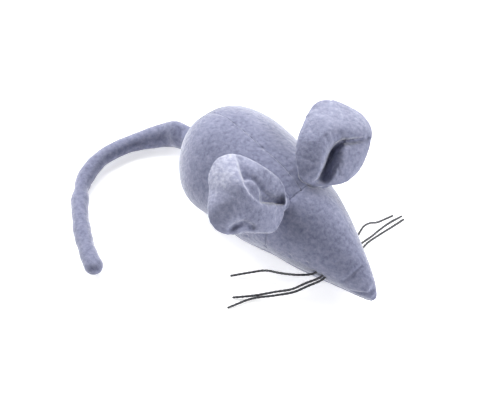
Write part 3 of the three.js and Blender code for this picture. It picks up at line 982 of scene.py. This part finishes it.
print("ears:", list(ears))

# %% [markdown]
# An ear's plane comes from three angles, as in the CAD source. Within it, a point is told by how far it
# lies from the ridge, on which side, and how far along.

# %% Ear planes
EAR_HINGE = np.array((44, 19.17, 44.71)) * MM


def turned(vector, axis, angle):
    """A vector turned about an axis."""
    return (
        vector * math.cos(angle) + np.cross(axis, vector) * math.sin(angle)
        + axis * (axis @ vector) * (1 - math.cos(angle))
    )


def ear_axes(shape):
    """The ear's hinge, its way out to the tip and its way across."""
    sweep, lift, turn = (math.radians(shape[k]) for k in ("sweep", "raise", "turn"))
    out = np.array((-math.sin(sweep) * math.cos(lift), math.cos(sweep) * math.cos(lift), math.sin(lift)))
    front = np.array((1.0, 0, 0)) - out * out[0]
    front = turned(unit(front), out, -turn)
    across = np.cross(front, out)
    mirror = np.array((1, shape["side"], 1))
    return EAR_HINGE * mirror, out * mirror, across * mirror


def beside_line(points, line):
    """How far flat points lie from a line, plus on its left, and at what share of the line."""
    line = np.array(line, float)
    starts = steps_along(line)
    best = np.full(len(points), np.inf)
    side = np.ones(len(points))
    along = np.zeros(len(points))
    for k in range(len(line) - 1):
        step = line[k + 1] - line[k]
        share = np.clip((points - line[k]) @ step / (step @ step), 0, 1)
        gap = points - line[k] - share[:, None] * step
        far = np.linalg.norm(gap, axis=1)
        left = step[0] * (points - line[k])[:, 1] - step[1] * (points - line[k])[:, 0]
        closer = far < best - 1e-9
        best = np.where(closer, far, best)
        side = np.where(closer, np.sign(left), side)
        along = np.where(closer, starts[k] + share * (starts[k + 1] - starts[k]), along)
    return best * side, along / starts[-1]


def around(values, turn):
    """Values given at even steps round a circle, read smoothly at any turn in radians."""
    values = np.array(values, float)
    place = turn / (2 * math.pi) * len(values)
    first = np.floor(place).astype(int)
    t = place - first
    a, b, c, d = (values[(first + k) % len(values)] for k in (-1, 0, 1, 2))
    return b + t * (c - a + t * (2 * a - 5 * b + 4 * c - d + t * (3 * (b - c) + d - a))) / 2


# %% [markdown]
# Both lobes are domes. The fold is a step between them: the near lobe rolls over the ridge, and the far one
# sinks to it. The right ear has a tongue that lies in its hollow, both have a groove, and their tops roll
# back, away from the viewer.

# %% Ear folds
EAR_ROLL = 9
EAR_ROLL_FROM_TO = (0.15, 1.1)
EAR_RISE_FROM_TO = (-12, 0)
EDGE_FROM_TO = (0.86, 1)
DOME_POWER = 2.2
NEAR_LIFT = 10
FAR_LIFT = 7
TONGUE_SUNK = 3
TONGUE_FROM_TO = (-0.6, 0.8)


def fold_height(shape, flat, share, edge):
    """How far each flat point of an ear stands out towards the viewer, in millimetres."""
    off, along = beside_line(flat, shape["ridge"])
    off *= shape["side"]
    steps = np.linspace(0, 1, len(shape["depth"]))
    depth = np.interp(along, steps, shape["depth"]) * (1 - smooth_step(*EDGE_FROM_TO, share))
    near_roll = np.interp(along, steps, shape["near_roll"])
    far_roll = np.interp(along, steps, shape["far_roll"])
    dome = 1 - share**DOME_POWER
    droop = depth * np.minimum(near_roll / 8, 0.5)
    near = NEAR_LIFT * dome - droop * np.exp(-np.maximum(off, 0) / near_roll)
    far = FAR_LIFT * dome - depth * (1 - smooth_step(0, 1, -off / far_roll))
    if shape["tongue"]:
        tongue = smooth_step(*TONGUE_FROM_TO, beside_line(flat, shape["tongue"])[0])
        far += tongue * (NEAR_LIFT * dome - TONGUE_SUNK - far)
    for line, width, sunk in shape["grooves"]:
        near -= sunk * bell(beside_line(flat, line)[0], width)
    to_top = (flat - shape["middle"]) @ shape["roll_to"] / edge
    rolled = EAR_ROLL * smooth_step(*EAR_ROLL_FROM_TO, to_top)
    return np.where(off > 0, near, far) * smooth_step(*EAR_RISE_FROM_TO, flat[:, 0]) - rolled


# %% [markdown]
# A pad starts as a grid drawn to the ear's outline, in the ear's plane. The fold lifts it along the line of
# sight. Where it lies over the body it is lifted off the skin. Then it gets a thickness, a voxel skin and a
# little pressure from the simulation.

# %% Ears
EAR_CELLS = 110
EAR_RIM = 2.4 * MM
EAR_THICKNESS = 6.0 * MM
EAR_VOXEL = 0.8 * MM
EAR_PRESSURE = 4.0
EAR_SWELL = 0.6 * MM
EAR_SEAT = 2.6 * MM
EAR_SOFT = 2 * MM
EAR_OVER_BODY = 20
EAR_LEAN_FROM = -9
EAR_LEAN = 38
EAR_LET_OUT = 1.3
SIGHT = 80 * MM


def ear_pad(name, shape):
    hinge, out, across = ear_axes(shape)
    pad = started(
        name, bpy.ops.mesh.primitive_grid_add, x_subdivisions=EAR_CELLS, y_subdivisions=EAR_CELLS, size=2
    )
    a, b = points_of(pad)[:, :2].T
    x, y = a * np.sqrt(1 - b * b / 2), b * np.sqrt(1 - a * a / 2)
    share = np.hypot(x, y)
    turn = np.arctan2(y, x) % (2 * math.pi)
    edge = around(shape["reach"], turn) + EAR_LET_OUT
    u = shape["middle"][0] + share * edge * np.cos(turn)
    v = shape["middle"][1] + share * edge * np.sin(turn)
    height = fold_height(shape, np.stack([u, v], axis=1), share, edge)
    place = hinge + (u[:, None] * out + v[:, None] * across + height[:, None] * TO_CAMERA) * MM
    lean = np.clip(1 - (u - EAR_LEAN_FROM) / EAR_LEAN, 0, 1)
    base, slant = shape["lean"]
    place += (lean * (base + slant * v) * MM)[:, None] * TO_CAMERA
    for i in np.flatnonzero(u < EAR_OVER_BODY):
        hit = skin_tree.ray_cast(Vector(place[i] + SIGHT * TO_CAMERA), Vector(-TO_CAMERA))[0]
        if hit is not None:
            need = (np.array(hit) - place[i]) @ TO_CAMERA + EAR_SEAT
            place[i] += (need + math.hypot(need, EAR_SOFT)) / 2 * TO_CAMERA
    move_points(pad, place)
    relaxed(pad, 2)
    fill = pad.vertex_groups.new(name="fill")
    for i, height_share in enumerate(np.sqrt(np.clip(1 - share**2, 0, 1))):
        fill.add([i], float(height_share), "REPLACE")
    wad = thickened(pad, EAR_THICKNESS, -shape["side"])
    wad.vertex_group = "fill"
    wad.thickness_vertex_group = EAR_RIM / EAR_THICKNESS
    apply_modifiers(pad)
    voxel_skin(pad, EAR_VOXEL)
    relaxed(pad, 2)
    puffed(pad, (points_of(pad) - hinge) @ out < 1 * MM, EAR_PRESSURE, EAR_SWELL)
    rounded(pad, 1)
    piled(pad, *PILE)
    # A painted highlight: each point gets a share that grows towards the top that the ear rolls back to, and
    # the plush is painted paler where it is high.
    flat = (points_of(pad) - hinge) @ np.stack([out, across], axis=1) / MM
    to_top = (flat - shape["middle"]) @ shape["roll_to"] / np.mean(shape["reach"])
    painted_light_share = pad.data.attributes.new("painted_light_share", "FLOAT", "POINT")
    painted_light_share.data.foreach_set("value", (shape["painted_highlight"] * smooth_step(0.15, 1.0, to_top)).astype(np.float32))
    return pad, hinge, out


for name, shape in ears.items():
    pad, hinge, out = ear_pad(name + "_plush", shape)
    dress(pad, ear_plush)
    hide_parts(name + "_back", name + "_front")
    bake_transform(pad)
    tell(pad)

# %% [markdown]
# The tail is a tube of plush with a little filling, thick where it is sewn into the rump and even from
# there on. It lies on the floor in a wide curve. It is modelled whole, as a rolled grid along its route,
# and then parted in the middle of each length of the CAD chain, so that every piece crosses one joint.
# Places along it are shares of its length.

# %% Tail line
TAIL_WIDE = 5.2 * MM
TAIL_RINGS = 190
TAIL_INSIDE = 7 * MM
TAIL_PAST_END = 0.2
TAIL_PARTINGS = (0.06, 0.21, 0.39, 0.57, 0.745)
tail_route = (
    (-48.65, 0.5, 14), (-58, -1.5, 10), (-67, -5, 6.4), (-73.5, -16, 5.2), (-78.5, -32, 4.9),
    (-78.5, -48, 4.9), (-71.5, -64, 4.9), (-60, -75.5, 4.9), (-47.5, -84, 4.9), (-35.5, -90.5, 4.9),
    (-23.5, -95.5, 4.9), (-12, -99, 4.9),
)
tail_nodes = ["tail_root"] + [f"tail_length_{i}" for i in range(1, 6)]

tail_line = through(np.array(tail_route) * MM, 400)
tail_length = length_of(tail_line)
tail_inward = unit(tail_line[0] - tail_line[3])
tail_onward = unit(tail_line[-1] - tail_line[-4])
tail_end = 1 + TAIL_PAST_END * TAIL_WIDE / tail_length
tail_shares = np.linspace(-TAIL_INSIDE / tail_length, tail_end, TAIL_RINGS)


def tail_place(share):
    """Points of the tail's middle line at shares of its length, run on straight past both ends."""
    ways = np.linspace(0, 1, len(tail_line))
    inside = np.stack([np.interp(share, ways, tail_line[:, k]) for k in range(3)], axis=-1)
    before = np.minimum(share, 0) * tail_length
    after = np.maximum(share - 1, 0) * tail_length
    return inside - before[..., None] * tail_inward + after[..., None] * tail_onward


print("tail is", round(tail_length / MM, 1), "mm long")

# %% [markdown]
# At the root the tail has a hump on top, behind a dip where it is sewn in, and further on it is pinched. The
# hump and the pinch are given by place, width and height. At each angle round the tail its surface runs on
# until it is a little inside the rump.

# %% Tail surface
TAIL_SIDES = 28
TAIL_TALL = 4.5 * MM
TAIL_ROOT_TALL = 8.4 * MM
TAIL_ROOT_WIDE = 7.0 * MM
TAIL_ROOT_FROM_TO = (0.08, 0.34)
TAIL_HUMP = (0.095, 0.05, 1.5 * MM)
TAIL_PINCH = (0.6, 0.022, 0.9 * MM)
TAIL_DIP = 5.8 * MM
TAIL_DIP_FROM_TO = (0.01, 0.085)
TAIL_DIP_NARROWED = 1.0 * MM
TAIL_SEWN_IN = 1.2 * MM
TAIL_OVER_FLOOR = 0.05 * MM


def swelling(share, place, width, height):
    return height * bell(share - place, width)


def tail_surface(share, angle):
    """Points of the tail's outside at shares of its length and at angles round it."""
    along = unit(tail_place(share + 0.003) - tail_place(share - 0.003))
    across = unit(np.cross((0, 0, 1), along))
    upward = np.cross(along, across)
    root = 1 - smooth_step(*TAIL_ROOT_FROM_TO, share)
    on_top = np.clip(np.sin(angle), 0, 1)
    dip = (1 - smooth_step(*TAIL_DIP_FROM_TO, share)) * on_top
    to_end = np.clip((tail_end - share) * tail_length / (1.1 * TAIL_WIDE), 0, 1)
    close = np.sqrt(1 - (1 - to_end) ** 2)
    uneven = 1 + 0.035 * np.sin(share * 41) + 0.02 * np.sin(share * 97 + 1)
    wide = (TAIL_WIDE + (TAIL_ROOT_WIDE - TAIL_WIDE) * root) * close * uneven
    wide -= TAIL_DIP_NARROWED * dip + swelling(share, *TAIL_PINCH)
    tall = (TAIL_TALL + (TAIL_ROOT_TALL - TAIL_TALL) * root) * close
    tall += swelling(share, *TAIL_HUMP) * on_top - TAIL_DIP * dip
    points = tail_place(share) + across * (wide * np.cos(angle))[:, None]
    points += upward * (tall * np.sin(angle))[:, None]
    points[:, 2] = np.maximum(points[:, 2], TAIL_OVER_FLOOR)
    return points


def sewn_in_at(angle):
    """The share of the tail's length at which its outside, at one angle, goes into the rump."""
    shares = np.linspace(0.8 * TAIL_PARTINGS[0], -0.16, 120)
    return shares[first_under(tail_surface(shares, np.full(len(shares), angle)), TAIL_SEWN_IN)]


tail, column, row = rolled_grid("tail", TAIL_SIDES, TAIL_RINGS)
angles = np.arange(TAIL_SIDES) / TAIL_SIDES * 2 * math.pi
starts = np.array([sewn_in_at(angle) for angle in angles])[column]
first = TAIL_PARTINGS[0]
to_parting = np.maximum(first - tail_shares[row], 0) / (first - tail_shares[0])
share = np.where(to_parting > 0, first - to_parting * (first - starts), tail_shares[row])
move_points(tail, tail_surface(share, angles[column]))
edited(tail, bpy.ops.mesh.remove_doubles, threshold=WELD)
edited(tail, bpy.ops.mesh.normals_make_consistent, inside=False)
tell(tail)

# %% [markdown]
# The tube is blown up a little, gets its pile and is parted. Faces stay in the order in which the grid was
# made, so a face's place in that order tells how far along the tail it lies. The two ends at a parting
# share their ring. The ends are capped, with a sharp rim, so that the shading runs on from one length to
# the next.

# %% Tail pieces
TAIL_PRESSURE = 40.0
TAIL_SWELL = 0.5 * MM
TAIL_HELD_BELOW = 0.6 * MM
TAIL_HELD_PAST = (-46 * MM, -20 * MM)
FACES_PER_CELL = 4
OFF_FLOOR = 0.02 * MM

x, y, z = points_of(tail).T
in_rump = (x > TAIL_HELD_PAST[0]) & (y > TAIL_HELD_PAST[1])
puffed(tail, (z < TAIL_HELD_BELOW) | in_rump, TAIL_PRESSURE, TAIL_SWELL)
rounded(tail, 1)
piled(tail, *PILE)
keep_heights(tail, OFF_FLOOR, np.inf)


def faces_to(share):
    """How many faces lie before a share of the tail's length."""
    return int(np.searchsorted(tail_shares, share)) * TAIL_SIDES * FACES_PER_CELL


tail_pieces = []
done = 0
for node, parting in zip(tail_nodes[:-1], TAIL_PARTINGS):
    count = faces_to(parting) - done
    tail_pieces.append(split_off(tail, node + "_plush", lambda m, _: np.arange(len(m)) < count))
    done += count
tail.name = tail.data.name = tail_nodes[-1] + "_plush"
tail_pieces.append(tail)
for i, piece in enumerate(tail_pieces):
    on_open_edges(piece, bpy.ops.mesh.mark_sharp, fill_ends)
    dress(piece, plush)
    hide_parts(tail_nodes[i])
    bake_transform(piece)
    tell(piece)

# %% [markdown]
# Inside the body are two wads of loose fibre. Each starts from the filling's CAD solid, is drawn in from
# the fabric and made lumpy.

# %% Filling
WAD_VOXEL = 3 * MM
WAD_DRAWN_IN = 0.9 * MM
WAD_LUMPS = (7 * MM, 1.6 * MM)
for node in ("body_stuffing", "head_stuffing"):
    wad = copied(node + "_fibre", node)
    voxel_skin(wad, WAD_VOXEL)
    relaxed(wad, 6)
    move_points(wad, points_of(wad) - normals_of(wad) * WAD_DRAWN_IN)
    rounded(wad, 1)
    piled(wad, *WAD_LUMPS)
    dress(wad, fibre)
    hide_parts(node)
    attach(wad, "torso")
    tell(wad)

# %% [markdown]
# Each whisker of the right side and the one across from it are the two ends of one cord, which is threaded
# straight through the snout. The part inside stays a little short of the whiskers, which bend on their own.

# %% Cords through the snout
CORD_INSIDE = 4.6 * MM
for level in ("upper", "middle", "lower"):
    right = np.array(whisker_routes["whisker_right_" + level][0]) * MM
    left = np.array(whisker_routes["whisker_left_" + level][0]) * MM
    inward = unit(left - right)
    line = np.linspace(right + inward * CORD_INSIDE, left - inward * CORD_INSIDE, 60)
    cord = strand_along("whisker_thread_" + level + "_cord", line, WHISKER, WHISKER_TURN)
    dress(cord, waxed_cord)
    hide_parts("whisker_thread_" + level)
    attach(cord, "torso")
    tell(cord)

# %% [markdown]
# The pocket in the belly is a cotton bag with a narrow shelf at its rear, slack between its edges.

# %% Pocket bag
BAG_RIM_Z = 2.9
BAG_FOLDS = (9 * MM, 1.0 * MM)
COTTON = 0.9 * MM


def block(name, low, high):
    """A plain box between two corners given in millimetres."""
    piece = started(name, bpy.ops.mesh.primitive_cube_add, size=1)
    low, high = np.array(low) * MM, np.array(high) * MM
    move_points(piece, (low + high) / 2 + points_of(piece) * (high - low))
    return piece


bag = block("pocket_lining_bag", (5.5, -11.5, BAG_RIM_Z), (39.5, 11.5, 24.8))
on_faces(bag, lambda _, normal: normal[:, 2] < -0.9, bpy.ops.mesh.delete, type="FACE")
edited(bag, bpy.ops.mesh.subdivide, number_cuts=14)
relaxed(bag, 6)
points = points_of(bag)
points[points[:, 2] < 4 * MM, 2] = BAG_RIM_Z * MM
move_points(bag, points)
piled(bag, *BAG_FOLDS)
thickened(bag, COTTON, 1)
apply_modifiers(bag)
shelf = block("pocket_shelf", (5.6, -11.2, 5.5), (19.2, 11.2, 6.5))
edited(shelf, bpy.ops.mesh.bevel, offset=0.4 * MM, segments=2)
select_only(bag, shelf)
bpy.ops.object.join()
dress(bag, cotton)
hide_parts("pocket_lining")
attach(bag, "torso")
tell(bag)

# %% [markdown]
# A plush flap closes the pocket. It is stitched on at its front edge.

# %% Flap
FLAP_VOXEL = 0.9 * MM
FLAP_TOP = 2.6 * MM
FLAP_HELD_PAST = 36 * MM
FLAP_HELD_BELOW = 0.3 * MM
FLAP_PRESSURE = 10.0
FLAP_SWELL = 0.4 * MM
FLAP_PILE = (1.7 * MM, 0.2 * MM)
FLAP_SEAM_X = 38.2
FLAP_SEAM_Z = 1.3
FLAP_SEAM_HALF = 10.2
FLAP_STITCHES = 13
FLAP_STITCH_REACH = 0.3
flap = copied("pocket_flap_plush", "pocket_flap")
voxel_skin(flap, FLAP_VOXEL)
relaxed(flap, 3)
x, _, z = points_of(flap).T
puffed(flap, (x > FLAP_HELD_PAST) | (z < FLAP_HELD_BELOW), FLAP_PRESSURE, FLAP_SWELL)
rounded(flap, 1)
piled(flap, *FLAP_PILE)
keep_heights(flap, OFF_FLOOR, FLAP_TOP)
dress(flap, plush)
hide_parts("pocket_flap")
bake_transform(flap)

along = np.linspace(0, 1, 140)
turns = along * FLAP_STITCHES * math.pi
flap_seam = np.stack([
    FLAP_SEAM_X + FLAP_STITCH_REACH * np.sin(turns),
    FLAP_SEAM_HALF * (2 * along - 1),
    FLAP_SEAM_Z + FLAP_STITCH_REACH * np.cos(turns),
], axis=1)
flap_stitches = strand_along("flap_seam_thread_stitches", flap_seam * MM, THREAD, THREAD_TURN)
dress(flap_stitches, seam_thread)
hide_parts("flap_seam_thread")
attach(flap_stitches, "torso")
tell(flap)

# %% [markdown]
# A strip of hook tape on the flap meets a strip of loop tape under the shelf. Each has rows of small hooks
# or loops, as the real tape has.

# %% Hook and loop strips
TAPE_REPEATS = (((0.75 * MM, 0, 0), 13), ((0, 0.78 * MM, 0), 23))


def in_rows(piece):
    """Repeats a small shape over a strip, in columns along X and rows along Y."""
    for offset, count in TAPE_REPEATS:
        repeat = piece.modifiers.new("repeat", "ARRAY")
        repeat.count = count
        repeat.use_relative_offset = False
        repeat.use_constant_offset = True
        repeat.constant_offset_displace = offset
    apply_modifiers(piece)


def small_part(name, add, place, **size):
    part = started(name, add, location=np.array(place) * MM, **size)
    bpy.ops.object.transform_apply(location=True, rotation=True, scale=True)
    return part


hook_tape = block("hook_strip_tape", (7.2, -9, 2.82), (17.2, 9, 3.25))
stem = small_part(
    "stem", bpy.ops.mesh.primitive_cylinder_add, (7.7, -8.6, 3.4), vertices=6, radius=0.09 * MM,
    depth=0.5 * MM,
)
cap = small_part(
    "cap", bpy.ops.mesh.primitive_ico_sphere_add, (7.7, -8.6, 3.65), subdivisions=1, radius=0.16 * MM
)
select_only(stem, cap)
bpy.ops.object.join()
in_rows(stem)
select_only(hook_tape, stem)
bpy.ops.object.join()
dress(hook_tape, nylon)
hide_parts("hook_strip")
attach(hook_tape, "flap")

loop_tape = block("loop_strip_tape", (7.2, -9, 4.62), (17.2, 9, 5.08))
loop = small_part(
    "loop", bpy.ops.mesh.primitive_torus_add, (7.7, -8.6, 4.5), major_radius=0.28 * MM,
    minor_radius=0.07 * MM, major_segments=8, minor_segments=4, rotation=(math.pi / 2, 0, 0.6),
)
in_rows(loop)
select_only(loop_tape, loop)
bpy.ops.object.join()
dress(loop_tape, nylon)
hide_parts("loop_strip")
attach(loop_tape, "torso")
tell(hook_tape)
tell(loop_tape)
